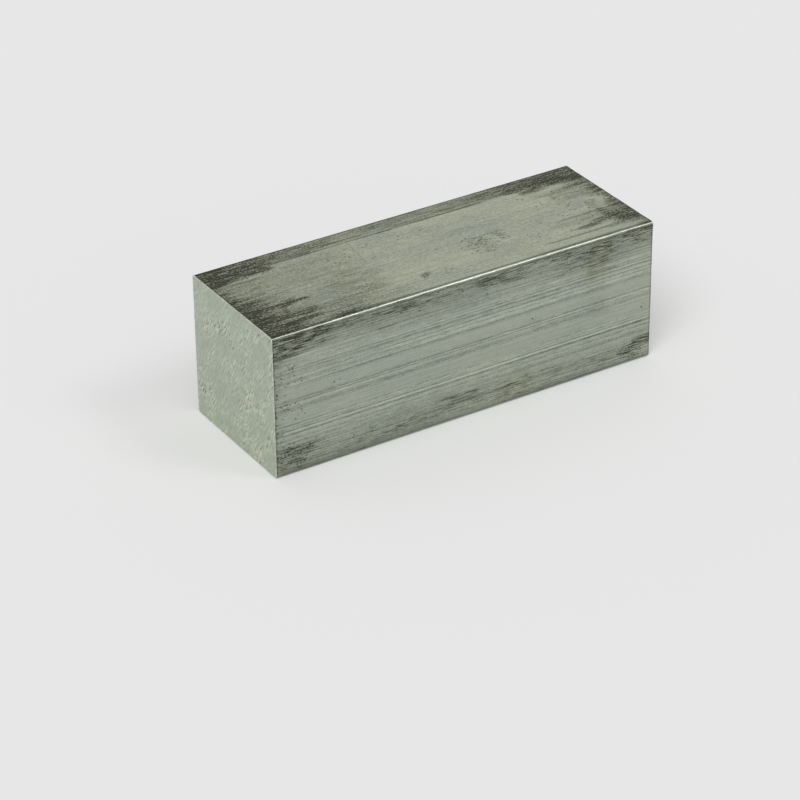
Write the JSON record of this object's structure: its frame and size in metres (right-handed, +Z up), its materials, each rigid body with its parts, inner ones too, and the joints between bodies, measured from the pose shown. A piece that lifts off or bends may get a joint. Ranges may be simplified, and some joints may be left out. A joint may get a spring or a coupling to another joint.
{
  "type": "aluminium block",
  "caption": "Short block sawn from square aluminium bar: mill-finished long faces with small rounded edges, and two flat saw-cut ends with a narrow deburred edge.",
  "frame": {"origin": "middle of the long face that the block lies on", "axes": "+X along the bar from one sawn end to the other, +Y across it, +Z up out of the face it lies on"},
  "size_m": [0.1, 0.035, 0.035],
  "materials": {
    "mill_aluminium": "mill finish, dull, with die lines and dark handling stains; paler saw-cut ends"
  },
  "bodies": {
    "root": {"aluminium_block": "mill_aluminium"}
  },
  "joints": []
}
